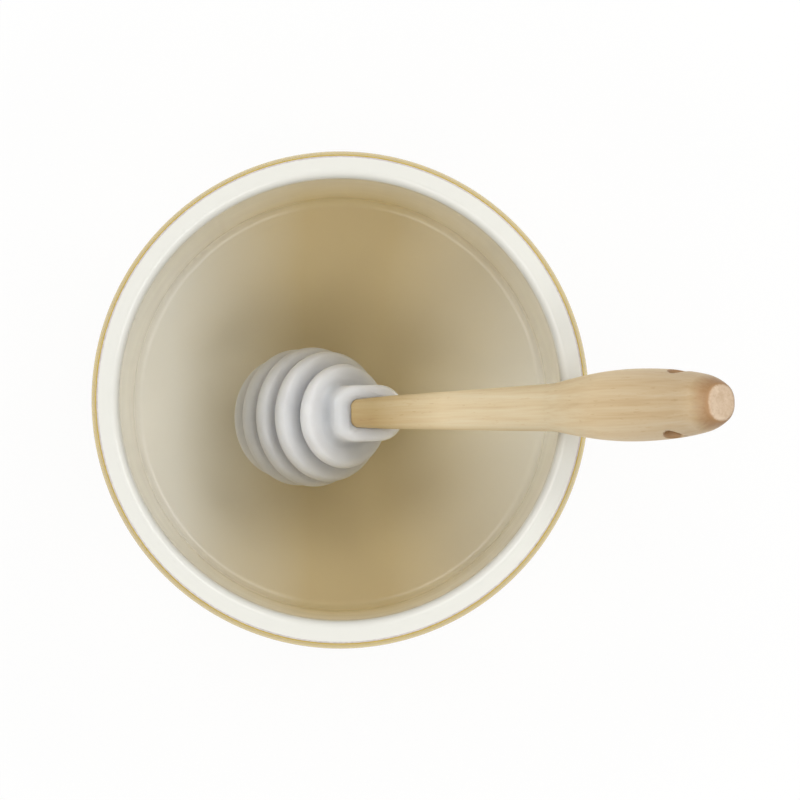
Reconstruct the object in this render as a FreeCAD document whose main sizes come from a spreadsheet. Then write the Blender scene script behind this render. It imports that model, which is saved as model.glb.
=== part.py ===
import FreeCAD, Part
import math
import os
import re

import Sketcher

# Driving sizes: millimetres, degrees, counts and plain ratios
SIZES = {
    # Stoneware pot
    "pot_height": 90.0,
    "bore_radius": 47.0,
    "wall": 4.8,
    "floor_thickness": 8.0,
    "floor_corner": 2.2,
    "rim_inner_round": 2.1,
    "rim_outer_round": 0.7,
    "band_count": 5,
    "band_depth": 1.4,
    "band_groove_round": 1.2,
    "heel_height": 5.5,
    "heel_fullness": 0.9,
    "foot_inset": 5.8,
    "foot_height": 1.0,
    # Silicone dipper head, its heights taken from the middle of its egg shape
    "head_radius": 15.95,
    "head_half_length": 18.65,
    "rib_count": 6,
    "top_gap": 6.15,
    "tip_gap": 3.65,
    "groove_width": 2.2,
    "groove_depth": 2.6,
    "rib_edge_fullness": 1.15,
    "collar_width": 12.5,
    "collar_depth": 12.0,
    "collar_corner": 4.2,
    "collar_foot_round": 1.7,
    "mouth_rise": 7.9,
    "mouth_slant": 36.0,
    "mouth_round": 1.0,
    "socket_edge_round": 0.4,
    # Core inside the head, with two rings that key into the ribs
    "core_radius": 5.8,
    "core_foot": 2.0,
    "core_floor": 2.7,
    "core_ring_radius": 8.4,
    "core_ring_thickness": 1.4,
    # Wooden handle, its widths across the lean and its depths along the lean
    "tenon_length": 29.0,
    "shaft_length": 56.0,
    "swell_length": 25.0,
    "grip_length": 25.1,
    "tip_length": 1.3,
    "tenon_width": 4.8,
    "tenon_depth": 4.8,
    "neck_width": 7.3,
    "neck_depth": 7.2,
    "shaft_width": 10.2,
    "shaft_depth": 9.7,
    "grip_width": 15.1,
    "grip_depth": 13.4,
    "end_width": 10.2,
    "end_depth": 9.6,
    "tip_width": 6.3,
    "neck_roundness": 0.5,
    "shaft_roundness": 0.8,
    "grip_roundness": 0.96,
    "hang_hole_radius": 2.4,
    "hang_hole_inset": 11.2,
    "hang_hole_offset": 1.0,
    "hang_hole_turn": 6.0,
    "hang_hole_chamfer": 0.5,
    # Fits, and where the dipper leans in the pot
    "socket_clearance": 0.08,
    "tenon_end_gap": 0.3,
    "rest_clearance": 0.4,
    "head_offset": -6.9,
    "head_side_offset": -2.6,
    "lean_yaw": 0.9,
}

doc = FreeCAD.newDocument("honey_pot")
sheet = doc.addObject("Spreadsheet::Sheet", "Sizes")
for row, (alias, size) in enumerate(SIZES.items(), start=1):
    sheet.set(f"A{row}", alias)
    sheet.set(f"B{row}", str(size))
    sheet.setAlias(f"B{row}", alias)
doc.recompute()


def sheet_formula(text):
    """Turn a formula of size names into one that every object of the document can read."""
    return re.sub("[a-z_]+", lambda word: "Sizes." * (word[0] in SIZES) + word[0], text)


def value(text):
    return float(sheet.evalExpression(sheet_formula(text)))


def bind(item, path, text):
    item.setExpression(path, sheet_formula(text))


# Sketches and features that several pieces share
def add_sketch(body, name, plane, height=None):
    """Attach a sketch to one of the body's own planes, raised where a height is given."""
    sketch = body.newObject("Sketcher::SketchObject", name)
    support = [feature for feature in body.Origin.OriginFeatures if feature.Role == plane]
    sketch.AttachmentSupport = [(support[0], "")]
    sketch.MapMode = "FlatFace"
    if height:
        bind(sketch, "AttachmentOffset.Base.z", height)
    return sketch


def add_dimension(sketch, text, kind, *where):
    number = sketch.addConstraint(Sketcher.Constraint(kind, *where, value(text)))
    bind(sketch, f"Constraints[{number}]", text)


def hold_point(sketch, side, end, corner):
    """Dimension one end of a side from the sketch's origin, or keep it on an axis."""
    for text, kind, axis in zip(corner, ("DistanceX", "DistanceY"), (-2, -1)):
        if text == "0":
            sketch.addConstraint(Sketcher.Constraint("PointOnObject", side, end, axis))
        else:
            add_dimension(sketch, text, kind, -1, 1, side, end)


def add_arc(sketch, start, stop, radius):
    """Add an arc under a half circle that runs anticlockwise from start to stop."""
    half = (stop - start) * 0.5
    inward = FreeCAD.Vector(-half.y, half.x, 0).normalize()
    centre = start + half + inward * math.sqrt(radius**2 - half.Length**2)
    first, last = [math.atan2(p.y - centre.y, p.x - centre.x) for p in (start, stop)]
    if last < first:
        last += 2 * math.pi
    circle = Part.Circle(centre, FreeCAD.Vector(0, 0, 1), radius)
    return sketch.addGeometry(Part.ArcOfCircle(circle, first, last), False)


def add_outline(sketch, corners, bulges, hollows):
    """Draw a closed outline anticlockwise through corners. bulges and hollows give the radius
    of each side that is an arc, by the number of the corner where the side starts."""
    points = [FreeCAD.Vector(value(x), value(y), 0) for x, y in corners]
    sides = []
    for number, start in enumerate(points):
        stop = points[(number + 1) % len(points)]
        if number in bulges:
            sides.append((add_arc(sketch, start, stop, value(bulges[number])), 1, 2))
        elif number in hollows:
            sides.append((add_arc(sketch, stop, start, value(hollows[number])), 2, 1))
        else:
            sides.append((sketch.addGeometry(Part.LineSegment(start, stop), False), 1, 2))
    for number, (side, begin, _) in enumerate(sides):
        before, _, finish = sides[number - 1]
        sketch.addConstraint(Sketcher.Constraint("Coincident", before, finish, side, begin))
        hold_point(sketch, side, begin, corners[number])
    for number, radius in {**bulges, **hollows}.items():
        add_dimension(sketch, radius, "Radius", sides[number][0])


def add_section(body, name, height, depth, width, corner):
    """Draw a rounded rectangle round the body's axis at a height, depth along X, width along Y."""
    sketch = add_sketch(body, name, "XY_Plane", height)
    x_edge, y_edge = f"({depth}) / 2", f"({width}) / 2"
    x_flat, y_flat = f"({x_edge} - {corner})", f"({y_edge} - {corner})"
    corners = [
        (x_edge, f"-{y_flat}"),
        (x_edge, y_flat),
        (x_flat, y_edge),
        (f"-{x_flat}", y_edge),
        (f"-{x_edge}", y_flat),
        (f"-{x_edge}", f"-{y_flat}"),
        (f"-{x_flat}", f"-{y_edge}"),
        (x_flat, f"-{y_edge}"),
    ]
    add_outline(sketch, corners, {1: corner, 3: corner, 5: corner, 7: corner}, {})
    return sketch


def revolve(body, kind, name, corners, bulges, hollows):
    sketch = add_sketch(body, f"{name}_outline", "XZ_Plane")
    add_outline(sketch, corners, bulges, hollows)
    feature = body.newObject(kind, name)
    feature.Profile = sketch
    feature.ReferenceAxis = (sketch, ["V_Axis"])
    feature.Angle = 360
    doc.recompute()


def loft(body, kind, name, sections, ruled):
    feature = body.newObject(kind, name)
    feature.Profile = sections[0]
    feature.Sections = sections[1:]
    feature.Ruled = ruled
    doc.recompute()


def cut_across(body, name, sketch, length):
    """Cut a sketch's outline out of the body to both sides of the sketch."""
    before = body.Shape.Volume
    feature = body.newObject("PartDesign::Pocket", name)
    feature.Profile = sketch
    feature.SideType = "Symmetric"
    bind(feature, "Length", length)
    doc.recompute()
    if body.Shape.Volume >= before:
        raise RuntimeError(f"{name} removed nothing")


def dress(body, kind, name, size_property, size, edges):
    """Round or bevel edges of the body's last feature."""
    base = body.Tip
    named = enumerate(base.Shape.Edges, start=1)
    picked = [f"Edge{i}" for i, edge in named if any(edge.isSame(other) for other in edges)]
    if not picked:
        raise RuntimeError(f"{name} found no edges")
    feature = body.newObject(kind, name)
    feature.Base = (base, picked)
    bind(feature, size_property, size)
    doc.recompute()


# Pot: one revolved section with a straight bore, a rolled rim and hive bands outside
band_radius = "(bore_radius + wall)"
band_pitch = "((pot_height - heel_height) / band_count)"
rim_round = "min(rim_inner_round; wall * 0.45)"


def make_pot():
    body = doc.addObject("PartDesign::Body", "pot")
    foot_radius = f"({band_radius} - foot_inset)"
    heel_chord = "sqrt(foot_inset^2 + (heel_height - foot_height)^2)"
    band_arc = f"(({band_pitch} / 2)^2 + band_depth^2) / (2 * band_depth)"
    corners = [("0", "0"), (foot_radius, "0"), (foot_radius, "foot_height")]
    bulges = {2: f"heel_fullness * {heel_chord}"}
    for band in range(int(SIZES["band_count"])):
        bulges[len(corners)] = band_arc
        corners.append((band_radius, f"heel_height + {band} * {band_pitch}"))
    rim = len(corners)
    bulges[rim + 1] = rim_round
    corners += [
        (band_radius, "pot_height"),
        (f"bore_radius + {rim_round}", "pot_height"),
        ("bore_radius", f"pot_height - {rim_round}"),
        ("bore_radius", "floor_thickness + floor_corner"),
        ("bore_radius - floor_corner", "floor_thickness"),
        ("0", "floor_thickness"),
    ]
    hollows = {rim + 3: "floor_corner"}
    revolve(body, "PartDesign::Revolution", "pot_wall", corners, bulges, hollows)

    heel, top = value("heel_height"), value("pot_height")
    rings = [edge for edge in body.Tip.Shape.Edges if edge.BoundBox.ZLength < 1e-6]
    rings = [edge for edge in rings if abs(edge.BoundBox.XMax - value(band_radius)) < 1e-3]
    grooves = [edge for edge in rings if heel + 1 < edge.BoundBox.ZMin < top - 1]
    dress(body, "PartDesign::Fillet", "band_grooves", "Radius", "band_groove_round", grooves)
    rim_edges = [edge for edge in body.Tip.Shape.Edges if edge.BoundBox.ZMin > top - 1e-3]
    outer = max(rim_edges, key=lambda edge: edge.BoundBox.XMax)
    dress(body, "PartDesign::Fillet", "rim_edge", "Radius", "min(rim_outer_round; wall * 0.2)", [outer])
    return body


# Dipper head: ribs on an egg shape, and a collar with a slanted mouth that takes the handle
rib_pitch = "((2 * head_half_length - top_gap - tip_gap) / (rib_count - 1))"
half_rib = f"(({rib_pitch} - groove_width) / 2)"
rib_edge = f"({half_rib} * rib_edge_fullness)"
rib_bulge = f"({rib_edge} - sqrt({rib_edge}^2 - {half_rib}^2))"
rib_numbers = range(int(SIZES["rib_count"]))


def rib_height(number):
    return f"(head_half_length - top_gap - {number} * {rib_pitch})"


def rib_radius(number):
    return f"(head_radius * sqrt(1 - ({rib_height(number)} / head_half_length)^2))"


head_top = f"({rib_height(0)} + {half_rib})"
core_bottom = f"({rib_height(2)} - core_foot)"
tenon_end = f"({core_bottom} + core_floor + tenon_end_gap)"
neck_height = f"({tenon_end} + tenon_length)"
shoulder_height = f"({neck_height} + shaft_length)"


def mouth_at(distance):
    """Height of the slanted mouth at a distance along the lean."""
    return f"({head_top} + mouth_rise + {distance} * tan(mouth_slant))"


def core_corners():
    """Half outline of the core, the same for the core and for its pocket in the silicone."""
    corners = [("0", core_bottom), ("core_radius", core_bottom)]
    for number in (2, 1):
        low = f"{rib_height(number)} - core_ring_thickness / 2"
        high = f"{rib_height(number)} + core_ring_thickness / 2"
        corners += [("core_radius", low), ("core_ring_radius", low)]
        corners += [("core_ring_radius", high), ("core_radius", high)]
    return corners + [("core_radius", head_top), ("0", head_top)]


# Tapered part of the handle: tenon end, neck and shoulder, with a gap round it for the socket
def taper_sections(body, name, gap):
    places = {
        "tenon": (f"{tenon_end} - {gap} * tenon_end_gap", "neck_roundness"),
        "neck": (neck_height, "neck_roundness"),
        "shaft": (shoulder_height, "shaft_roundness"),
    }
    sections = []
    for place, (height, roundness) in places.items():
        depth, width = (f"{place}_{size} + {gap} * 2 * socket_clearance" for size in ("depth", "width"))
        corner = f"({roundness} * min({depth}; {width}) / 2)"
        sections.append(add_section(body, f"{name}_{place}", height, depth, width, corner))
    return sections


def make_head():
    body = doc.addObject("PartDesign::Body", "dipper_head")
    last = rib_numbers[-1]
    cap_edge = f"({rib_radius(last)} - {rib_bulge})"
    cap_drop = f"(head_half_length + {rib_height(last)} - {half_rib})"
    corners = [("0", "-head_half_length")]
    bulges = {0: f"({cap_edge}^2 + {cap_drop}^2) / (2 * {cap_drop})"}
    for number in reversed(rib_numbers):
        edge = f"{rib_radius(number)} - {rib_bulge}"
        top = f"{rib_height(number)} + {half_rib}"
        bulges[len(corners)] = rib_edge
        corners += [(edge, f"{rib_height(number)} - {half_rib}"), (edge, top)]
        if number > 0:
            groove = f"min({rib_radius(number)}; {rib_radius(number - 1)}) - groove_depth"
            corners += [(groove, top), (groove, f"{top} + groove_width")]
    corners.append(("0", head_top))
    revolve(body, "PartDesign::Revolution", "ribs", corners, bulges, {})

    collar = body.newObject("PartDesign::Pad", "collar")
    collar.Profile = add_section(body, "collar_section", head_top, "collar_depth", "collar_width",
                                 "collar_corner")
    bind(collar, "Length", f"{mouth_at('collar_depth / 2')} - {head_top}")
    doc.recompute()
    reach = "(collar_depth / 2 + mouth_round)"
    mouth = add_sketch(body, "mouth_outline", "XZ_Plane")
    mouth_corners = [
        (f"-{reach}", mouth_at(f"-{reach}")),
        (reach, mouth_at(reach)),
        (reach, f"{mouth_at(reach)} + mouth_round"),
        (f"-{reach}", f"{mouth_at(reach)} + mouth_round"),
    ]
    add_outline(mouth, mouth_corners, {}, {})
    cut_across(body, "slanted_mouth", mouth, "2 * collar_width")

    top, widest = value(head_top), value("max(collar_width; collar_depth) / 2")
    foot = [edge for edge in body.Tip.Shape.Edges if abs(edge.BoundBox.ZMax - top) < 1e-6]
    foot = [edge for edge in foot if edge.BoundBox.XMax < widest + 1e-3]
    dip = f"({mouth_at('(-collar_depth / 2)')} - {head_top})"
    dress(body, "PartDesign::Fillet", "collar_foot", "Radius",
          f"min(collar_foot_round; {dip} * 0.55)", foot)

    before = body.Shape.Volume
    loft(body, "PartDesign::SubtractiveLoft", "socket", taper_sections(body, "socket", 1), True)
    revolve(body, "PartDesign::Groove", "core_pocket", core_corners(), {}, {})
    if body.Shape.Volume >= before:
        raise RuntimeError("the socket and the core pocket removed nothing")

    slope, middle = math.tan(math.radians(value("mouth_slant"))), value(mouth_at("0"))

    def mouth_wires():
        """Outer and inner edges of the slanted mouth face."""
        for face in body.Tip.Shape.Faces:
            if all(abs(v.Z - middle - v.X * slope) < 1e-4 for v in face.Vertexes):
                inner = [wire for wire in face.Wires if not wire.isSame(face.OuterWire)]
                return face.OuterWire.Edges, inner[0].Edges

    lip_wall = "min(collar_depth - neck_depth; collar_width - neck_width) / 2"
    dress(body, "PartDesign::Fillet", "mouth_lip", "Radius",
          f"min(mouth_round; {lip_wall} * 0.5; {dip} * 0.4)", mouth_wires()[0])
    dress(body, "PartDesign::Fillet", "socket_edge", "Radius",
          f"min(socket_edge_round; {lip_wall} * 0.2)", mouth_wires()[1])
    return body


def make_core():
    body = doc.addObject("PartDesign::Body", "head_core")
    revolve(body, "PartDesign::Revolution", "sleeve", core_corners(), {}, {})
    before = body.Shape.Volume
    loft(body, "PartDesign::SubtractiveLoft", "socket", taper_sections(body, "core_socket", 1), True)
    if body.Shape.Volume >= before:
        raise RuntimeError("the core's socket removed nothing")
    return body


# Handle: a straight taper, then a grip that swells and narrows to a rounded end with a hang hole
grip_height = f"({shoulder_height} + swell_length)"
end_height = f"({grip_height} + grip_length)"
SWELL_STEPS = 3
GRIP_STEPS = 4


def grip_stations():
    """Height, depth, width and roundness of each grip section above the shoulder."""
    stations = []
    for step in range(1, SWELL_STEPS + 1):
        part = step / SWELL_STEPS
        rise = f"sin(90 * {part:.6f})"
        sizes = [f"(shaft_{size} + (grip_{size} - shaft_{size}) * {rise})" for size in ("depth", "width")]
        roundness = f"(shaft_roundness + (grip_roundness - shaft_roundness) * {part:.6f})"
        stations.append((f"{shoulder_height} + swell_length * {part:.6f}", *sizes, roundness))
    for step in range(1, GRIP_STEPS + 1):
        part = step / GRIP_STEPS
        sizes = [f"(grip_{size} * sqrt(1 - {part**2:.6f} * (1 - (end_{size} / grip_{size})^2)))"
                 for size in ("depth", "width")]
        stations.append((f"{grip_height} + grip_length * {part:.6f}", *sizes, "grip_roundness"))
    return stations


def make_handle():
    body = doc.addObject("PartDesign::Body", "dipper_handle")
    taper = taper_sections(body, "handle", 0)
    loft(body, "PartDesign::AdditiveLoft", "shaft", taper, True)
    sections = [taper[-1]]
    for number, (height, depth, width, roundness) in enumerate(grip_stations()):
        corner = f"({roundness} * min({depth}; {width}) / 2)"
        sections.append(add_section(body, f"grip_{number}", height, depth, width, corner))
    loft(body, "PartDesign::AdditiveLoft", "grip", sections, False)
    depth, width = [f"(tip_width + (end_{size} - tip_width) * sin(45))" for size in ("depth", "width")]
    turn = add_section(body, "end_turn", f"{end_height} + tip_length * sin(45)", depth, width,
                       f"(grip_roundness * min({depth}; {width}) / 2)")
    tip = add_section(body, "tip", f"{end_height} + tip_length", "tip_width", "tip_width",
                      "(grip_roundness * tip_width / 2)")
    loft(body, "PartDesign::AdditiveLoft", "rounded_end", [sections[-1], turn, tip], True)

    hole = add_sketch(body, "hang_hole_outline", "XZ_Plane")
    hole.AttachmentOffset = FreeCAD.Placement(
        FreeCAD.Vector(), FreeCAD.Rotation(FreeCAD.Vector(0, -1, 0), value("hang_hole_turn")))
    bind(hole, "AttachmentOffset.Rotation.Angle", "hang_hole_turn")
    hole_height = f"{end_height} - hang_hole_inset"
    centre = FreeCAD.Vector(value("0 - hang_hole_offset"), value(hole_height), 0)
    circle = Part.Circle(centre, FreeCAD.Vector(0, 0, 1), value("hang_hole_radius"))
    ring = hole.addGeometry(circle, False)
    hold_point(hole, ring, 3, ("0 - hang_hole_offset", hole_height))
    add_dimension(hole, "hang_hole_radius", "Radius", ring)
    cut_across(body, "hang_hole", hole, "2 * grip_width")
    walls = [face for face in body.Tip.Shape.Faces if face.Surface.TypeId == "Part::GeomCylinder"]
    mouths = [edge for wall in walls for edge in wall.Edges if not edge.isSeam(wall)]
    dress(body, "PartDesign::Chamfer", "hang_hole_mouths", "Size", "hang_hole_chamfer", mouths)
    return body


# Lean of the dipper: its head rests on the floor and its handle on the rim
def head_drop(lean):
    """How far the lowest rib reaches below the head's middle."""
    drops = []
    for number in rib_numbers:
        out, along, edge = value(rib_radius(number)), value(rib_height(number)), value(rib_edge)
        drops.append((out - edge) * math.cos(lean) - along * math.sin(lean) + edge)
    return max(drops)


def find_lean():
    """Tilt the dipper down from upright until its underside meets the rim, less the clearance."""
    taper = [(neck_height, "neck_depth"), (shoulder_height, "shaft_depth")]
    stations = taper + [station[:2] for station in grip_stations()]
    underside = [(value(height), value(depth) / 2) for height, depth in stations]
    rim_x, rim_z = value(f"bore_radius + {rim_round}"), value(f"pot_height - {rim_round}")
    head_z = value("floor_thickness + rest_clearance")
    room = value(f"{rim_round} + rest_clearance")

    def gap(degrees):
        lean = math.radians(degrees)
        across, up = rim_x - value("head_offset"), rim_z - head_z - head_drop(lean)
        along = across * math.cos(lean) + up * math.sin(lean)
        below = across * math.sin(lean) - up * math.cos(lean)
        gaps = []
        for (s1, n1), (s2, n2) in zip(underside, underside[1:]):
            part = ((along - s1) * (s2 - s1) + (below - n1) * (n2 - n1)) / ((s2 - s1)**2 + (n2 - n1)**2)
            part = min(max(part, 0), 1)
            gaps.append(math.hypot(along - s1 - part * (s2 - s1), below - n1 - part * (n2 - n1)))
        return min(gaps) - room

    degrees = 85.0
    for step in (1, 0.1, 0.01, 0.001):
        while gap(degrees - step) > 0:
            degrees -= step
    return degrees, head_z + head_drop(math.radians(degrees))


pieces = [make_pot(), make_head(), make_core(), make_handle()]
lean, head_middle = find_lean()
turn = FreeCAD.Rotation(FreeCAD.Vector(0, 0, 1), value("lean_yaw"))
tilt = FreeCAD.Rotation(FreeCAD.Vector(0, 1, 0), 90 - lean)
base = FreeCAD.Vector(value("head_offset"), value("head_side_offset"), head_middle)
for piece in pieces[1:]:
    piece.Placement = FreeCAD.Placement(base, turn * tilt)
doc.recompute()
print(f"lean {lean:.3f} degrees, middle of the head at {base.x:.3f}, {base.y:.3f}, {base.z:.3f} mm")

for item in doc.Objects:
    if "Invalid" in item.State or "Error" in item.State:
        raise RuntimeError(f"{item.Name} failed: {item.State}")
os.makedirs("parts", exist_ok=True)
for piece in pieces:
    if piece.Shape.isNull() or not piece.Shape.isValid() or len(piece.Shape.Solids) != 1:
        raise RuntimeError(f"{piece.Label} is not one valid solid")
    piece.Shape.exportStep(f"parts/{piece.Label}.step")
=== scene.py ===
import math

import bmesh
import bpy
from mathutils import Euler, Matrix, Vector


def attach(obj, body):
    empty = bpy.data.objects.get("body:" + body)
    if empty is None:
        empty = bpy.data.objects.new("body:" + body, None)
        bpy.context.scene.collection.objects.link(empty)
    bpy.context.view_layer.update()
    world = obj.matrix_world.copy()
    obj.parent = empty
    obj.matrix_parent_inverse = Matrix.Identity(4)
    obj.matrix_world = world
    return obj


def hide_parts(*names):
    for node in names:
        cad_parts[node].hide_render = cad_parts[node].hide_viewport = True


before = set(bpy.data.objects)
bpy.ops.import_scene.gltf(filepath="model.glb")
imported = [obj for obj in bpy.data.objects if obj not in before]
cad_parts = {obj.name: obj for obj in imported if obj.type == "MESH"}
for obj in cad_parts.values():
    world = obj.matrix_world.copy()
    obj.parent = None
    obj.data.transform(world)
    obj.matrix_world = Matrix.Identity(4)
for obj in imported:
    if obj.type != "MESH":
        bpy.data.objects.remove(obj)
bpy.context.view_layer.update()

MM = 0.001

# Pot, in millimetres: the solid's sizes, with bands a little shallower to stay inside its box
POT_HEIGHT = 90.0
BORE = 47.0
BAND = 51.8
BAND_DEPTH = 1.35
BAND_COUNT = 5
GROOVE_ROUND = 1.2
HEEL = 5.5
HEEL_FULLNESS = 0.9
FOOT = 46.0
FOOT_HEIGHT = 1.0
FOOT_ROUND = 0.5
FLOOR = 8.0
FLOOR_CORNER = 2.2
RIM_INNER = 2.1
RIM_OUTER = 0.7
RIM_FLAT = 0.8
RIM_EDGE_LOW = (BAND + 0.235, POT_HEIGHT - 0.66)
RIM_EDGE_TOP = (BAND - 0.62, POT_HEIGHT)

# Finishes of the pot, in the order of its material slots
BARE, HONEY, WIPED, LINER = range(4)

# Dipper head, in millimetres along and across the dipper's own axis from the middle of the head
HEAD_RADIUS = 15.65
HEAD_HALF = 18.65
RIB_COUNT = 6
RIB_PITCH = 5.5
TOP_RIB = 12.5
HALF_RIB = 1.65
RIB_EDGE = 1.9
RIB_OFFSET = 0.5
GROOVE_DEPTH = 2.6
GROOVE_CORNER = 0.45
HEAD_TOP = TOP_RIB + HALF_RIB
MOUTH = 22.05
MOUTH_SLOPE = math.tan(math.radians(36))
COLLAR = (12.0, 12.5, 4.2)
COLLAR_FOOT = 1.7
LIP = 1.0
SOCKET_GAP = 0.08
SOCKET_EDGE = 0.4

# Core inside the head, with rings that key into two of the ribs
CORE_RADIUS = 5.8
CORE_FOOT = -0.5
KEY_RADIUS = 8.4
KEY_HALF = 0.7
KEYED_RIBS = (2, 1)

# How far the shapes that join or cut the head reach into and past each other
SUNK = 1.0
SEAM = 0.02

# Handle: heights, then depths and widths across it, then how round its sections are
TENON, NECK, SHOULDER, GRIP, END, TIP = 2.5, 31.5, 87.5, 112.5, 137.6, 138.85
TENON_SIZE = (4.8, 4.8)
NECK_SIZE = (7.2, 7.3)
SHAFT_SIZE = (9.7, 10.2)
GRIP_SIZE = (13.4, 15.1)
END_SIZE = (9.6, 10.2)
NECK_ROUNDNESS, SHAFT_ROUNDNESS, GRIP_ROUNDNESS = 0.5, 0.8, 0.96

# Rounded end: where it turns in, the share of its size left, its edge, and its low dome
END_TURN, END_SHARE, END_EDGE = 133.0, 0.8, 138.2
DOME_ROUND, DOME_START = 0.3, 30

# Hang hole across the handle
HOLE_HEIGHT, HOLE_RADIUS, HOLE_OFFSET, HOLE_TURN = 126.4, 2.4, 1.0, 6.0
HOLE_HALF, HOLE_EASE, DRILL_REACH = 6.8, 1.1, 14.0

# Where the dipper leans: middle of its head in the pot, and the turn of its axis
HEAD_PLACE = Vector((-6.9, -2.6, 26.813))
LEAN = Euler((0, math.radians(90 - 52.501), math.radians(0.9)), "XYZ")
DIPPER = Matrix.Translation(HEAD_PLACE) @ LEAN.to_matrix().to_4x4()

# How finely the meshes are divided
POT_TURNS, HEAD_TURNS, HOLE_TURNS = 240, 192, 48
CORNER_STEPS, SIDE_STEPS = 12, 4
FILLET_STEPS = 8

# Studio
FLOOR_REACH = 3000.0
PAPER_WHITE = 0.92
FILL = 0.12
BOX_SIZE = (0.8, 0.3)
BOX_AIM = Vector((0, 0, 0.05))
SENSOR, FOCAL_PIXELS, IMAGE_PIXELS = 36.0, 5183, 800


def linear(hex_code):
    """sRGB hex to a linear colour with alpha."""
    parts = [int(hex_code[i:i + 2], 16) / 255 for i in (1, 3, 5)]
    return [c / 12.92 if c <= 0.04045 else ((c + 0.055) / 1.055) ** 2.4 for c in parts] + [1.0]


def add_node(tree, kind, inputs=None, **settings):
    """Add a node, set its properties, and set or link its inputs."""
    made = tree.nodes.new(kind)
    for name, setting in settings.items():
        setattr(made, name, setting)
    for name, given in (inputs or {}).items():
        if isinstance(given, bpy.types.NodeSocket):
            tree.links.new(given, made.inputs[name])
        else:
            made.inputs[name].default_value = given
    return made


def set_stops(ramp, stops):
    """Give a colour ramp its stops, as positions and hex colours."""
    elements = ramp.color_ramp.elements
    while len(elements) < len(stops):
        elements.new(0.5)
    for element, (place, hex_code) in zip(elements, stops):
        element.position = place
        element.color = linear(hex_code)


def new_material(name):
    """A material with its nodes and its shader."""
    material = bpy.data.materials.new(name)
    material.use_nodes = True
    tree = material.node_tree
    return material, tree, tree.nodes["Principled BSDF"]


# Outlines and skins
def arc(start, stop, radius, steps):
    """Points from start to stop on an arc that bulges to the right of the way along it, or to
    the left where the radius is negative. The last point is left out."""
    start, stop = Vector(start), Vector(stop)
    half = (stop - start) / 2
    side = Vector((-half.y, half.x)).normalized() * math.copysign(1, radius)
    centre = start + half + side * math.sqrt(radius**2 - half.length_squared)
    first = math.atan2(start.y - centre.y, start.x - centre.x)
    last = math.atan2(stop.y - centre.y, stop.x - centre.x)
    turn = (last - first + math.pi) % (2 * math.pi) - math.pi
    size = abs(radius)
    angles = [first + turn * step / steps for step in range(steps)]
    return [(centre.x + size * math.cos(a), centre.y + size * math.sin(a)) for a in angles]


def lathe(mesh, outline, turns):
    """Turn an outline of (radius, height, finish) round the axis into a skin."""
    angles = [2 * math.pi * i / turns for i in range(turns)]
    rings = []
    for radius, height, _ in outline:
        if radius < 1e-6:
            rings.append([mesh.verts.new((0, 0, height))] * turns)
            continue
        ring = [(radius * math.cos(a), radius * math.sin(a), height) for a in angles]
        rings.append([mesh.verts.new(point) for point in ring])
    for (_, _, finish), ring, following in zip(outline, rings, rings[1:]):
        for i in range(turns):
            j = (i + 1) % turns
            corners = [ring[i], ring[j], following[j], following[i]]
            face = mesh.faces.new(list(dict.fromkeys(corners)))
            face.material_index = finish


def bridge(mesh, rings):
    """Join rings of as many points each into a skin with closed ends."""
    made = [[mesh.verts.new(point) for point in ring] for ring in rings]
    for ring, following in zip(made, made[1:]):
        for i in range(len(ring)):
            j = (i + 1) % len(ring)
            mesh.faces.new((ring[i], ring[j], following[j], following[i]))
    mesh.faces.new(made[0][::-1])
    mesh.faces.new(made[-1])


def rounded_section(sizes, outset=0.0):
    """Points round a rounded rectangle of a depth, width and corner, grown by outset,
    anticlockwise from the start of its first corner."""
    depth, width, corner = sizes[0] + 2 * outset, sizes[1] + 2 * outset, sizes[2] + outset
    corners = []
    for quarter, signs in enumerate(((1, 1), (-1, 1), (-1, -1), (1, -1))):
        centre = Vector((signs[0] * (depth / 2 - corner), signs[1] * (width / 2 - corner)))
        angles = [math.pi / 2 * (quarter + i / CORNER_STEPS) for i in range(CORNER_STEPS + 1)]
        corners.append([centre + corner * Vector((math.cos(a), math.sin(a))) for a in angles])
    points = []
    for quarter, turn in enumerate(corners):
        following = corners[(quarter + 1) % 4][0]
        points += turn + [turn[-1].lerp(following, i / SIDE_STEPS) for i in range(1, SIDE_STEPS)]
    return points


def finish_mesh(name, mesh, matrix):
    """Put a bmesh in the part's frame, in metres, as a smooth object."""
    bmesh.ops.recalc_face_normals(mesh, faces=mesh.faces)
    bmesh.ops.transform(mesh, matrix=Matrix.Scale(MM, 4) @ matrix, verts=mesh.verts)
    for face in mesh.faces:
        face.smooth = True
    data = bpy.data.meshes.new(name)
    mesh.to_mesh(data)
    mesh.free()
    made = bpy.data.objects.new(name, data)
    bpy.context.scene.collection.objects.link(made)
    return made


def shape_with(piece, tool, operation):
    """Join a tool to a piece or cut it away, and delete the tool."""
    step = piece.modifiers.new(tool.name, "BOOLEAN")
    step.object = tool
    step.operation = operation
    step.solver = "EXACT"
    shaped = piece.evaluated_get(bpy.context.evaluated_depsgraph_get())
    piece.data = bpy.data.meshes.new_from_object(shaped)
    piece.modifiers.clear()
    bpy.data.objects.remove(tool)


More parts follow.
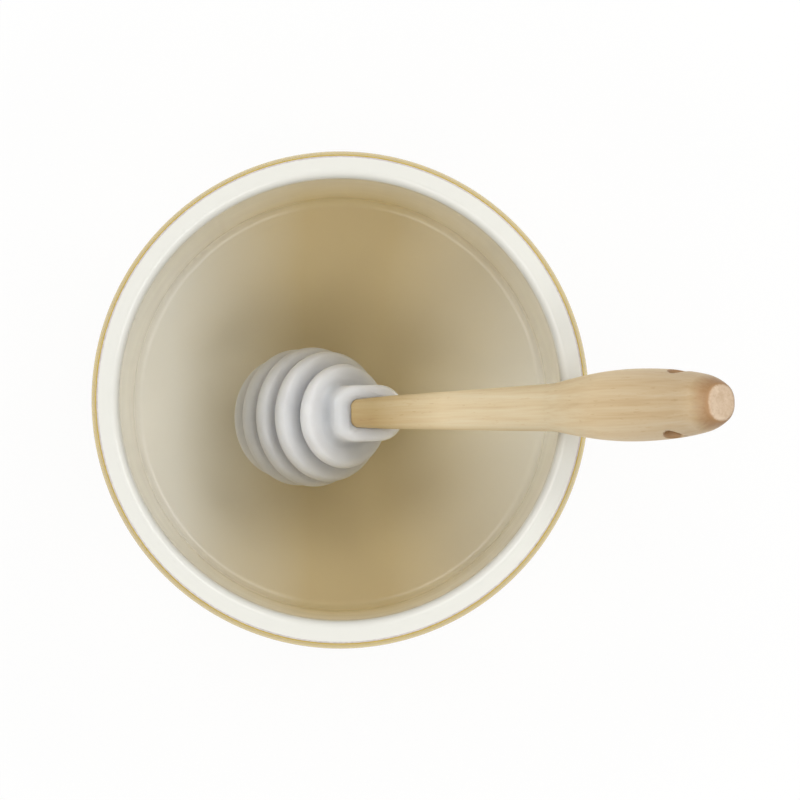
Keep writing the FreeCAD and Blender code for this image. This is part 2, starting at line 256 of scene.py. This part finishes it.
# Pot
def pot_outline():
    """Half section of the pot as (radius, height, finish), from its base round to its floor."""
    bare = [(0.0, 0.0), (FOOT / 2, 0.0)]
    bare += arc((FOOT - FOOT_ROUND, 0.0), (FOOT, FOOT_ROUND), FOOT_ROUND, 5)
    bare += [(FOOT, FOOT_ROUND)]

    heel_radius = HEEL_FULLNESS * math.hypot(BAND - FOOT, HEEL - FOOT_HEIGHT)
    honey = arc((FOOT, FOOT_HEIGHT), (BAND, HEEL), heel_radius, 24)
    pitch = (POT_HEIGHT - HEEL) / BAND_COUNT
    band_radius = ((pitch / 2)**2 + BAND_DEPTH**2) / (2 * BAND_DEPTH)
    crease = math.asin(pitch / 2 / band_radius)
    reach = GROOVE_ROUND * math.tan(crease)
    back, rise = reach * math.sin(crease), reach * math.cos(crease)
    for band in range(BAND_COUNT):
        low, high = HEEL + band * pitch, HEEL + (band + 1) * pitch
        start = (BAND + back, low + rise) if band else (BAND, low)
        stop = (BAND + back, high - rise) if band < BAND_COUNT - 1 else RIM_EDGE_LOW
        if band:
            honey += arc((BAND + back, low - rise), start, -GROOVE_ROUND, 8)
        honey += arc(start, stop, band_radius, 28)

    edge = arc(RIM_EDGE_LOW, RIM_EDGE_TOP, RIM_OUTER, 10)
    rim_inside, wall_top = (BORE + RIM_INNER, POT_HEIGHT), (BORE, POT_HEIGHT - RIM_INNER)
    wall_foot, floor_edge = (BORE, FLOOR + FLOOR_CORNER), (BORE - FLOOR_CORNER, FLOOR)
    liner = [RIM_EDGE_TOP, (BORE + RIM_INNER + RIM_FLAT, POT_HEIGHT)]
    liner += arc(rim_inside, wall_top, RIM_INNER, 16)
    liner += [(BORE, wall_top[1] - 2 * i) for i in range(38)]
    liner += arc(wall_foot, floor_edge, -FLOOR_CORNER, 16)
    liner += [(radius, FLOOR) for radius in (floor_edge[0], 42, 36, 28, 20, 12, 5, 0.0)]

    runs = ((BARE, bare), (HONEY, honey + edge[:5]), (WIPED, edge[5:8]), (LINER, edge[8:] + liner))
    return [(radius, height, finish) for finish, run in runs for radius, height in run]


# Dipper head
def rib_sizes(number):
    """Height and radius of a rib, counted from the top one, on the head's egg shape."""
    height = TOP_RIB - number * RIB_PITCH
    return height, HEAD_RADIUS * math.sqrt(1 - (height / HEAD_HALF)**2)


def head_outline():
    """Half section of the ribbed head, from its tip to its top."""
    bulge = RIB_EDGE - math.sqrt(RIB_EDGE**2 - HALF_RIB**2)
    last_height, last_radius = rib_sizes(RIB_COUNT - 1)
    low_edge = (last_radius - bulge, last_height - HALF_RIB)
    drop = HEAD_HALF + last_height - HALF_RIB
    points = arc((0, -HEAD_HALF), low_edge, (low_edge[0]**2 + drop**2) / (2 * drop), 12)
    for number in reversed(range(RIB_COUNT)):
        height, radius = rib_sizes(number)
        side, low, high = radius - bulge, height - HALF_RIB, height + HALF_RIB
        points += arc((side, low), (side, high), RIB_EDGE, 16) + [(side, high)]
        if number:
            groove = min(radius, rib_sizes(number - 1)[1]) - GROOVE_DEPTH
            corner, outer = groove + GROOVE_CORNER, groove + 2 * GROOVE_CORNER
            above = high + RIB_PITCH - 2 * HALF_RIB
            points += [(outer, high)]
            points += arc((corner, high), (groove, high + GROOVE_CORNER), -GROOVE_CORNER, 5)
            points += arc((groove, above - GROOVE_CORNER), (corner, above), -GROOVE_CORNER, 5)
            points += [(corner, above), (outer, above)]
    points += [(radius, HEAD_TOP) for radius in (9.5, 7.0, 0.0)]
    return [(radius, height, 0) for radius, height in points]


def between(low, high, part):
    """Sizes part of the way from the low ones to the high ones."""
    return [a + (b - a) * part for a, b in zip(low, high)]


def taper(height):
    """Depth, width and corner of the handle's straight taper at a height."""
    if height < NECK:
        part = (height - TENON) / (NECK - TENON)
        sizes, roundness = between(TENON_SIZE, NECK_SIZE, part), NECK_ROUNDNESS
    else:
        part = (height - NECK) / (SHOULDER - NECK)
        sizes = between(NECK_SIZE, SHAFT_SIZE, part)
        roundness = NECK_ROUNDNESS + (SHAFT_ROUNDNESS - NECK_ROUNDNESS) * part
    return (*sizes, roundness * min(sizes) / 2)


def slanted_ring(sizes, outset, share, rise):
    """A rounded section, a share of the way from the top rib to the slanted mouth."""
    ring = []
    for point in rounded_section(sizes, outset):
        mouth = MOUTH + point.x * MOUTH_SLOPE
        ring.append((point.x, point.y, HEAD_TOP + (mouth - HEAD_TOP) * share + rise))
    return ring


def collar_rings():
    """Collar on top of the ribs: sunk a little, with a foot fillet and a rounded slanted lip."""
    angles = [math.pi / 2 * step / FILLET_STEPS for step in range(FILLET_STEPS + 1)]
    rings = [slanted_ring(COLLAR, COLLAR_FOOT, 0, -SUNK)]
    for angle in angles:
        rise = COLLAR_FOOT * (1 - math.cos(angle)) - SEAM
        rings.append(slanted_ring(COLLAR, COLLAR_FOOT * (1 - math.sin(angle)), 0, rise))
    for step in range(1, 6):
        share = step / 6
        rings.append(slanted_ring(COLLAR, 0, share, COLLAR_FOOT * (1 - share) - LIP * share))
    for angle in angles:
        inset, drop = LIP * (1 - math.cos(angle)), LIP * (1 - math.sin(angle))
        rings.append(slanted_ring(COLLAR, -inset, 1, -drop))
    return rings


def socket_ring(outset, share, rise):
    """A slanted ring that keeps the same gap to the tapered handle at each of its heights."""
    ring = []
    slanted = slanted_ring(taper(MOUTH), outset, share, rise)
    for number, (_, _, height) in enumerate(slanted):
        point = rounded_section(taper(height), outset)[number]
        ring.append((point.x, point.y, height))
    return ring


def hollow_rings():
    """Pocket for the core and its two keying rings, then the socket from the pocket's roof up past
    the mouth, with its edge eased."""
    outline = [(CORE_RADIUS, CORE_FOOT - SEAM)]
    for number in KEYED_RIBS:
        height = rib_sizes(number)[0]
        low, high = height - KEY_HALF - SEAM, height + KEY_HALF + SEAM
        outline += [(CORE_RADIUS, low), (KEY_RADIUS, low), (KEY_RADIUS, high), (CORE_RADIUS, high)]
    outline += [(CORE_RADIUS, HEAD_TOP + SEAM)]
    room = 1 + SOCKET_GAP / CORE_RADIUS
    ways = [point.normalized() * room for point in rounded_section(taper(HEAD_TOP))]
    rings = [[(way.x * size, way.y * size, height) for way in ways] for size, height in outline]
    rings.append(socket_ring(SOCKET_GAP, 0, SEAM))
    for step in range(6):
        angle = math.pi / 2 * (1 - step / 5)
        rise = SEAM - SOCKET_EDGE * (1 - math.cos(angle))
        rings.append(socket_ring(SOCKET_GAP + SOCKET_EDGE * (1 - math.sin(angle)), 1, rise))
    return rings + [socket_ring(SOCKET_GAP + SOCKET_EDGE, 1, SUNK)]


def make_head():
    """Ribs and collar as one skin of silicone, with the core's pocket and the socket cut out."""
    ribs, collar, hollow = (bmesh.new() for _ in range(3))
    lathe(ribs, head_outline(), HEAD_TURNS)
    bmesh.ops.translate(ribs, vec=(0, -RIB_OFFSET, 0), verts=ribs.verts)
    bridge(collar, collar_rings())
    bridge(hollow, hollow_rings())
    head = finish_mesh("head_silicone_ribs", ribs, DIPPER)
    for name, tool, operation in (("collar", collar, "UNION"), ("hollow", hollow, "DIFFERENCE")):
        shape_with(head, finish_mesh(name, tool, DIPPER), operation)
    return head


# Dipper handle
def handle_section(height):
    """Depth, width and corner of the handle at a height."""
    if height <= SHOULDER:
        return taper(height)
    if height <= GRIP:
        part = (height - SHOULDER) / (GRIP - SHOULDER)
        sizes = between(SHAFT_SIZE, GRIP_SIZE, math.sin(math.pi / 2 * part))
        roundness = SHAFT_ROUNDNESS + (GRIP_ROUNDNESS - SHAFT_ROUNDNESS) * part
    else:
        part = ((height - GRIP) / (END - GRIP))**2
        turn = max(0, (height - END_TURN) / (TIP - END_TURN))
        easing = math.sqrt(1 - turn**2 * (1 - END_SHARE**2))
        sizes = [grip * easing * math.sqrt(1 - part * (1 - (end / grip)**2))
                 for grip, end in zip(GRIP_SIZE, END_SIZE)]
        roundness = GRIP_ROUNDNESS
    return (*sizes, roundness * min(sizes) / 2)


def drill_outline():
    """Hang hole with eased mouths, along its own axis from the middle of the handle."""
    mouth, clear = HOLE_RADIUS + 0.9, HOLE_RADIUS + 1.9
    bore_end, mouth_end, clear_end = HOLE_HALF - 0.7, HOLE_HALF + 0.4, HOLE_HALF + 1.2
    outline = [(0.0, -DRILL_REACH), (clear, -DRILL_REACH), (clear, -clear_end)]
    outline += arc((mouth, -mouth_end), (HOLE_RADIUS, -bore_end), -HOLE_EASE, 8)
    outline += arc((HOLE_RADIUS, bore_end), (mouth, mouth_end), -HOLE_EASE, 8)
    outline += [(mouth, mouth_end), (clear, clear_end), (clear, DRILL_REACH), (0.0, DRILL_REACH)]
    return [(radius, height, 0) for radius, height in outline]


def make_handle():
    """Tapered shaft, swollen grip and rounded end as one skin, with the hang hole cut out."""
    heights = [TENON + i * (SHOULDER - TENON) / 34 for i in range(34)]
    heights += [SHOULDER + i * (END_TURN - SHOULDER) / 60 for i in range(60)]
    turn_in = END_EDGE - END_TURN
    heights += [END_TURN + turn_in * math.sin(math.pi / 2 * i / 16) for i in range(17)]
    rings = [[(p.x, p.y, z) for p in rounded_section(handle_section(z))] for z in heights]
    edge = rings[-1]
    dome = []
    start = math.radians(DOME_START)
    for step in range(1, FILLET_STEPS + 1):
        angle = start + (math.pi / 2 - start) * step / FILLET_STEPS
        share = 1 - DOME_ROUND * (math.cos(start) - math.cos(angle))
        rise = (math.sin(angle) - math.sin(start)) / (1 - math.sin(start))
        dome.append((share, END_EDGE + (TIP - END_EDGE) * rise))
    for share, height in dome + [(0.6, TIP), (0.3, TIP)]:
        rings.append([(x * share, y * share, height) for x, y, _ in edge])
    mesh, drill = bmesh.new(), bmesh.new()
    bridge(mesh, rings)
    lathe(drill, drill_outline(), HOLE_TURNS)
    handle = finish_mesh("handle_wood", mesh, DIPPER)
    across = Matrix.Translation((0, 0, HOLE_HEIGHT))
    across = across @ Matrix.Rotation(math.radians(-HOLE_TURN), 4, "Z")
    across = across @ Matrix.Translation((-HOLE_OFFSET, 0, 0))
    across = across @ Matrix.Rotation(math.pi / 2, 4, "X")
    shape_with(handle, finish_mesh("hang_hole", drill, DIPPER @ across), "DIFFERENCE")
    return handle


# Materials, with their patterns in millimetres
def place_mm(tree, local):
    """Millimetres from the part's origin, or along and across the dipper's own axis."""
    here = add_node(tree, "ShaderNodeTexCoord")
    place, turn = (HEAD_PLACE * MM, LEAN) if local else (Vector(), Euler())
    inputs = {"Vector": here.outputs["Object"], "Location": place, "Rotation": turn,
              "Scale": (MM, MM, MM)}
    return add_node(tree, "ShaderNodeMapping", inputs, vector_type="TEXTURE").outputs["Vector"]


def honey_glaze():
    """Stoneware dipped in a honey yellow glaze and fired satin: the glass runs off the crests of
    the bands and off the brim and pools in the grooves, so crests are paler and grooves deeper."""
    cloud_mm, ripple_mm = 13, 5
    material, tree, shader = new_material("stoneware_honey_glaze_fired")
    place = place_mm(tree, False)
    flat = add_node(tree, "ShaderNodeVectorMath", {0: place, 1: (1, 1, 0)}, operation="MULTIPLY")
    radius = add_node(tree, "ShaderNodeVectorMath", {0: flat.outputs[0]}, operation="LENGTH")
    cloud = add_node(tree, "ShaderNodeTexNoise",
                     {"Vector": place, "Scale": 1 / cloud_mm, "Detail": 4.0})
    wavy = add_node(tree, "ShaderNodeMath",
                    {0: cloud.outputs[0], 1: 0.9, 2: radius.outputs["Value"]},
                    operation="MULTIPLY_ADD")
    crest = add_node(tree, "ShaderNodeMapRange",
                     {"Value": wavy.outputs[0], "From Min": BAND + 0.1,
                      "From Max": BAND + BAND_DEPTH + 0.8})
    spot = add_node(tree, "ShaderNodeSeparateXYZ", {"Vector": place})
    brim = add_node(tree, "ShaderNodeMapRange",
                    {"Value": spot.outputs["Z"], "From Min": POT_HEIGHT - 2.5,
                     "From Max": POT_HEIGHT - 0.6, "To Min": 0.0, "To Max": 0.5})
    paling = add_node(tree, "ShaderNodeMath", {0: crest.outputs[0], 1: brim.outputs[0]},
                    operation="MAXIMUM")
    tone = add_node(tree, "ShaderNodeValToRGB", {"Fac": paling.outputs[0]})
    set_stops(tone, [(0.0, "#AE8618"), (0.45, "#CFAE2C"), (1.0, "#DEC048")])
    ripple = add_node(tree, "ShaderNodeTexNoise",
                      {"Vector": place, "Scale": 1 / ripple_mm, "Detail": 2.0})
    bump = add_node(tree, "ShaderNodeBump",
                    {"Height": ripple.outputs[0], "Strength": 0.12, "Distance": 0.12 * MM})
    gloss = add_node(tree, "ShaderNodeMapRange",
                     {"Value": cloud.outputs[0], "To Min": 0.2, "To Max": 0.28})
    tree.links.new(tone.outputs["Color"], shader.inputs["Base Color"])
    tree.links.new(gloss.outputs[0], shader.inputs["Roughness"])
    tree.links.new(bump.outputs[0], shader.inputs["Normal"])
    shader.inputs["Specular IOR Level"].default_value = 0.3
    return material


def liner_glaze():
    """Stoneware lined with a cream glaze, white where a second dip covers the rim. A tan band of
    painted shade runs across the middle of the pot, darkest on the floor and paling up the wall
    towards the rim."""
    cloud_mm, ripple_mm, wander_mm, shade_band_middle = 22, 7, 8.0, 4
    material, tree, shader = new_material("stoneware_cream_liner_glaze_fired")
    place = place_mm(tree, False)
    spot = add_node(tree, "ShaderNodeSeparateXYZ", {"Vector": place})
    cloud = add_node(tree, "ShaderNodeTexNoise",
                     {"Vector": place, "Scale": 1 / cloud_mm, "Detail": 3.0})
    edge = add_node(tree, "ShaderNodeMath",
                    {0: cloud.outputs[0], 1: 1.2, 2: spot.outputs["Z"]},
                    operation="MULTIPLY_ADD")
    dip = add_node(tree, "ShaderNodeMapRange",
                   {"Value": edge.outputs[0], "From Min": POT_HEIGHT - 2.4,
                    "From Max": POT_HEIGHT - 0.4}, interpolation_type="SMOOTHSTEP")
    # Painted shade: a tan band across the middle of the pot, darkest on the floor and paling up the
    # wall towards the rim
    wander = add_node(tree, "ShaderNodeMath",
                      {0: cloud.outputs[0], 1: wander_mm, 2: spot.outputs["X"]},
                      operation="MULTIPLY_ADD")
    across = add_node(tree, "ShaderNodeMapRange",
                      {"Value": wander.outputs[0], "From Min": shade_band_middle - BORE,
                       "From Max": shade_band_middle + BORE})
    painted_shade_band = add_node(tree, "ShaderNodeValToRGB", {"Fac": across.outputs[0]})
    set_stops(painted_shade_band, [(0.1, "#F2EFE4"), (0.42, "#E1CFA2"), (0.62, "#E1CFA2"), (1.0, "#F0ECDF")])
    paling = add_node(tree, "ShaderNodeMapRange",
                    {"Value": spot.outputs["Z"], "From Min": FLOOR + FLOOR_CORNER,
                     "From Max": POT_HEIGHT, "To Min": 0.0, "To Max": 0.9})
    painted_shade_by_height = add_node(tree, "ShaderNodeMix",
                       {0: paling.outputs[0], 6: painted_shade_band.outputs["Color"], 7: linear("#F2EFE4")},
                       data_type="RGBA")
    tone = add_node(tree, "ShaderNodeMix",
                    {0: dip.outputs[0], 6: painted_shade_by_height.outputs[2], 7: linear("#DFDED6")},
                    data_type="RGBA")
    ripple = add_node(tree, "ShaderNodeTexNoise",
                      {"Vector": place, "Scale": 1 / ripple_mm, "Detail": 2.0})
    bump = add_node(tree, "ShaderNodeBump",
                    {"Height": ripple.outputs[0], "Strength": 0.1, "Distance": 0.1 * MM})
    gloss = add_node(tree, "ShaderNodeMapRange",
                     {"Value": cloud.outputs[0], "To Min": 0.1, "To Max": 0.17})
    tree.links.new(tone.outputs[2], shader.inputs["Base Color"])
    tree.links.new(gloss.outputs[0], shader.inputs["Roughness"])
    tree.links.new(bump.outputs[0], shader.inputs["Normal"])
    shader.inputs["Specular IOR Level"].default_value = 0.28
    return material


def bare_stoneware(name, dark, pale):
    """Fired clay wiped free of glaze: dry, a little gritty, with darker grains of grog."""
    grit_mm = 0.9
    material, tree, shader = new_material(name)
    place = place_mm(tree, False)
    grit = add_node(tree, "ShaderNodeTexNoise",
                    {"Vector": place, "Scale": 1 / grit_mm, "Detail": 5.0})
    tone = add_node(tree, "ShaderNodeValToRGB", {"Fac": grit.outputs[0]})
    set_stops(tone, [(0.35, dark), (0.65, pale)])
    bump = add_node(tree, "ShaderNodeBump",
                    {"Height": grit.outputs[0], "Strength": 0.3, "Distance": 0.15 * MM})
    tree.links.new(tone.outputs["Color"], shader.inputs["Base Color"])
    tree.links.new(bump.outputs[0], shader.inputs["Normal"])
    shader.inputs["Roughness"].default_value = 0.75
    return material


def moulded_silicone():
    """White silicone rubber pressed in a blasted mould: matte, softly lit from within, with a
    fine even grain. The grain is drawn at 0.5 mm, coarser than a real one, so that it shows."""
    grain_mm, cloud_mm, scatter_mm = 0.5, 9, 12.0
    material, tree, shader = new_material("silicone_moulded_matte")
    place = place_mm(tree, True)
    grain = add_node(tree, "ShaderNodeTexNoise",
                     {"Vector": place, "Scale": 1 / grain_mm, "Detail": 2.0})
    cloud = add_node(tree, "ShaderNodeTexNoise",
                     {"Vector": place, "Scale": 1 / cloud_mm, "Detail": 3.0})
    tone = add_node(tree, "ShaderNodeValToRGB", {"Fac": cloud.outputs[0]})
    set_stops(tone, [(0.3, "#C2C3C6"), (0.7, "#CACBCD")])
    rough = add_node(tree, "ShaderNodeMapRange",
                     {"Value": cloud.outputs[0], "To Min": 0.5, "To Max": 0.65})
    bump = add_node(tree, "ShaderNodeBump",
                    {"Height": grain.outputs[0], "Strength": 0.15, "Distance": 0.08 * MM})
    tree.links.new(tone.outputs["Color"], shader.inputs["Base Color"])
    tree.links.new(rough.outputs[0], shader.inputs["Roughness"])
    tree.links.new(bump.outputs[0], shader.inputs["Normal"])
    shader.inputs["IOR"].default_value = 1.41
    shader.inputs["Subsurface Weight"].default_value = 1.0
    shader.inputs["Subsurface Radius"].default_value = (1.0, 0.95, 0.9)
    shader.inputs["Subsurface Scale"].default_value = scatter_mm * MM
    return material


def turned_wood():
    """Pale hardwood turned, sanded and oiled: fine straight grain along the handle and short darker
    ray flecks. Painted shade darkens the neck under the collar and the handle towards its end, and
    a darker ring round the rounded end is partly end grain taking the oil and partly painted shade."""
    material, tree, shader = new_material("maple_turned_oiled")
    place = place_mm(tree, True)

    # Grain: broad bands, fine lines and short flecks, each given across and along the handle
    patterns = []
    for across_mm, along_mm, settings in ((2.6, 70, {"Detail": 4.0, "Distortion": 0.4}),
                                          (0.5, 22, {"Detail": 3.0}), (0.45, 3.0, {"Detail": 1.0})):
        stretched = add_node(tree, "ShaderNodeVectorMath",
                             {0: place, 1: (1 / across_mm, 1 / across_mm, 1 / along_mm)},
                             operation="MULTIPLY")
        pattern = add_node(tree, "ShaderNodeTexNoise",
                           {"Vector": stretched.outputs[0], "Scale": 1.0, **settings})
        patterns.append(pattern.outputs[0])
    broad, fine, fleck = patterns
    flecks = add_node(tree, "ShaderNodeMapRange",
                      {"Value": fleck, "From Min": 0.66, "From Max": 0.74, "To Min": 0.0,
                       "To Max": 0.16})
    mixed = add_node(tree, "ShaderNodeMath", {0: fine, 1: 0.45, 2: broad},
                     operation="MULTIPLY_ADD")
    grain = add_node(tree, "ShaderNodeMath", {0: mixed.outputs[0], 1: flecks.outputs[0]},
                     operation="SUBTRACT")
    side = add_node(tree, "ShaderNodeValToRGB", {"Fac": grain.outputs[0]})
    set_stops(side, [(0.45, "#DDC297"), (0.62, "#E9D2A9"), (0.78, "#EFDCB7"), (0.95, "#F3E4C4")])

    # Painted shade along the handle: darker neck under the collar, clean shaft, darker towards the
    # end
    spot = add_node(tree, "ShaderNodeSeparateXYZ", {"Vector": place})
    along = add_node(tree, "ShaderNodeMapRange", {"Value": spot.outputs["Z"], "From Max": TIP})
    shade_along_handle = add_node(tree, "ShaderNodeValToRGB", {"Fac": along.outputs[0]})
    set_stops(shade_along_handle, [(0.2, "#C7BDA4"), (0.38, "#FFFFFF"), (0.62, "#FDFBF8"), (0.76, "#F7F1EA"),
                    (0.94, "#D8CFC6")])
    grain_with_painted_shade = add_node(tree, "ShaderNodeMix",
                    {0: 1.0, 6: side.outputs["Color"], 7: shade_along_handle.outputs["Color"]},
                    data_type="RGBA", blend_type="MULTIPLY")

    # End grain: a darker ring where the wood turns towards the end, partly oil taken up by end
    # grain and partly painted shade, then the paler end
    here = add_node(tree, "ShaderNodeTexCoord")
    axis = LEAN.to_matrix() @ Vector((0, 0, 1))
    facing = add_node(tree, "ShaderNodeVectorMath", {0: here.outputs["Normal"], 1: axis},
                      operation="DOT_PRODUCT")
    ragged = add_node(tree, "ShaderNodeMath", {0: fine, 1: 0.16, 2: facing.outputs["Value"]},
                      operation="MULTIPLY_ADD")
    oil_and_painted_shade = add_node(tree, "ShaderNodeMapRange",
                     {"Value": ragged.outputs[0], "From Min": 0.3, "From Max": 0.52, "To Min": 0.0,
                      "To Max": 0.9})
    ringed = add_node(tree, "ShaderNodeMix",
                      {0: oil_and_painted_shade.outputs[0], 6: grain_with_painted_shade.outputs[2], 7: linear("#9C7449")},
                      data_type="RGBA")
    flat = add_node(tree, "ShaderNodeMapRange",
                    {"Value": ragged.outputs[0], "From Min": 0.85, "From Max": 1.06})
    tip = add_node(tree, "ShaderNodeMapRange",
                   {"Value": spot.outputs["Z"], "From Min": END_TURN, "From Max": END_EDGE})
    end = add_node(tree, "ShaderNodeMath", {0: flat.outputs[0], 1: tip.outputs[0]},
                   operation="MULTIPLY")
    pores = add_node(tree, "ShaderNodeValToRGB", {"Fac": mixed.outputs[0]})
    set_stops(pores, [(0.5, "#BFA283"), (0.9, "#D8C1A6")])
    tone = add_node(tree, "ShaderNodeMix",
                    {0: end.outputs[0], 6: ringed.outputs[2], 7: pores.outputs["Color"]},
                    data_type="RGBA")

    bump = add_node(tree, "ShaderNodeBump",
                    {"Height": grain.outputs[0], "Strength": 0.2, "Distance": 0.1 * MM})
    rough = add_node(tree, "ShaderNodeMapRange", {"Value": fine, "To Min": 0.42, "To Max": 0.6})
    tree.links.new(tone.outputs[2], shader.inputs["Base Color"])
    tree.links.new(rough.outputs[0], shader.inputs["Roughness"])
    tree.links.new(bump.outputs[0], shader.inputs["Normal"])
    return material


def moulded_nylon():
    """Natural nylon, injection moulded: milky, with faint flow clouds and a low sheen."""
    flow_mm = 6
    material, tree, shader = new_material("nylon_injection_moulded")
    place = place_mm(tree, True)
    flow = add_node(tree, "ShaderNodeTexNoise",
                    {"Vector": place, "Scale": 1 / flow_mm, "Detail": 3.0})
    tone = add_node(tree, "ShaderNodeValToRGB", {"Fac": flow.outputs[0]})
    set_stops(tone, [(0.3, "#DCD8CB"), (0.7, "#E8E5DA")])
    rough = add_node(tree, "ShaderNodeMapRange",
                     {"Value": flow.outputs[0], "To Min": 0.4, "To Max": 0.5})
    tree.links.new(tone.outputs["Color"], shader.inputs["Base Color"])
    tree.links.new(rough.outputs[0], shader.inputs["Roughness"])
    return material


def add_backdrop_rays(tree):
    """One for rays that see the backdrop: from the camera, or mirrored or let through."""
    seen = add_node(tree, "ShaderNodeLightPath")
    mirrored = add_node(tree, "ShaderNodeMath",
                        {0: seen.outputs["Is Camera Ray"], 1: seen.outputs["Is Glossy Ray"]},
                        operation="MAXIMUM")
    through = add_node(tree, "ShaderNodeMath",
                       {0: mirrored.outputs[0], 1: seen.outputs["Is Transmission Ray"]},
                       operation="MAXIMUM")
    return through.outputs[0]


# Pieces
pot_mesh = bmesh.new()
lathe(pot_mesh, pot_outline(), POT_TURNS)
pot = finish_mesh("pot_stoneware", pot_mesh, Matrix.Identity(4))
for finish in (bare_stoneware("stoneware_bare_foot", "#A8906F", "#CDB796"), honey_glaze(),
               bare_stoneware("stoneware_wiped_line", "#BFB6B2", "#D2CAC6"), liner_glaze()):
    pot.data.materials.append(finish)

head = make_head()
head.data.materials.append(moulded_silicone())

handle = make_handle()
handle.data.materials.append(turned_wood())
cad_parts["head_core"].material_slots[0].material = moulded_nylon()

for piece, body, node, slot in ((pot, "pot", "pot", "pot_glaze"),
                                (head, "dipper head", "dipper_head", "head_silicone"),
                                (handle, "dipper handle", "dipper_handle", "handle_wood")):
    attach(piece, body)
    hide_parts(node)

# Floor: pale, white to the camera, with a faint shadow of the pot
floor_mesh = bmesh.new()
bmesh.ops.create_grid(floor_mesh, x_segments=4, y_segments=4, size=FLOOR_REACH)
floor = finish_mesh("studio_floor", floor_mesh, Matrix.Identity(4))
floor_finish, tree, shader = new_material("studio_paper_pale")
shader.inputs["Base Color"].default_value = linear("#FAFAF8")
shader.inputs["Roughness"].default_value = 0.9
lit = add_node(tree, "ShaderNodeMath", {0: add_backdrop_rays(tree), 1: PAPER_WHITE},
               operation="MULTIPLY")
white = add_node(tree, "ShaderNodeEmission", {"Strength": 1.0})
paper = add_node(tree, "ShaderNodeMixShader",
                 {0: lit.outputs[0], 1: shader.outputs[0], 2: white.outputs[0]})
tree.links.new(paper.outputs[0], tree.nodes["Material Output"].inputs["Surface"])
floor.data.materials.append(floor_finish)

# Studio light: two soft boxes on the right, two on the left, and a low fill all round
scene = bpy.context.scene
scene.view_settings.view_transform = "Standard"
world = bpy.data.worlds.new("studio")
scene.world = world
world.use_nodes = True
sky = world.node_tree
strength = add_node(sky, "ShaderNodeMapRange",
                    {"Value": add_backdrop_rays(sky), "To Min": FILL, "To Max": 1.0})
sky.links.new(strength.outputs[0], sky.nodes["Background"].inputs["Strength"])
sky.nodes["Background"].inputs["Color"].default_value = (1, 1, 1, 1)
for name, place, power in (("softbox_right_front", (0.481, -0.433, 0.94), 4.0),
                           ("softbox_right_back", (0.481, 0.433, 0.94), 4.5),
                           ("softbox_left_front", (-0.469, -0.422, 0.951), 3.75),
                           ("softbox_left_back", (-0.469, 0.422, 0.951), 4.1)):
    lamp = bpy.data.lights.new(name, "AREA")
    lamp.shape = "RECTANGLE"
    lamp.size, lamp.size_y = BOX_SIZE
    lamp.energy = power
    box = bpy.data.objects.new(name, lamp)
    box.location = place
    box.rotation_euler = (BOX_AIM - box.location).to_track_quat("-Z", "Y").to_euler()
    scene.collection.objects.link(box)

# Camera: 1.1 m above the rim, looking almost straight down with the handle to the right
camera_data = bpy.data.cameras.new("camera")
camera_data.sensor_width = SENSOR
camera_data.lens = SENSOR * FOCAL_PIXELS / IMAGE_PIXELS
camera = bpy.data.objects.new("camera", camera_data)
eye, aim = Vector((0, -15.4, 1190)) * MM, Vector((12.67, -0.13, 90)) * MM
back = (eye - aim).normalized()
right = Vector((0, 1, 0)).cross(back).normalized()
turned = Matrix((right, back.cross(right), back)).transposed().to_4x4()
camera.matrix_world = Matrix.Translation(eye) @ turned
scene.collection.objects.link(camera)
scene.camera = camera

bpy.context.view_layer.update()
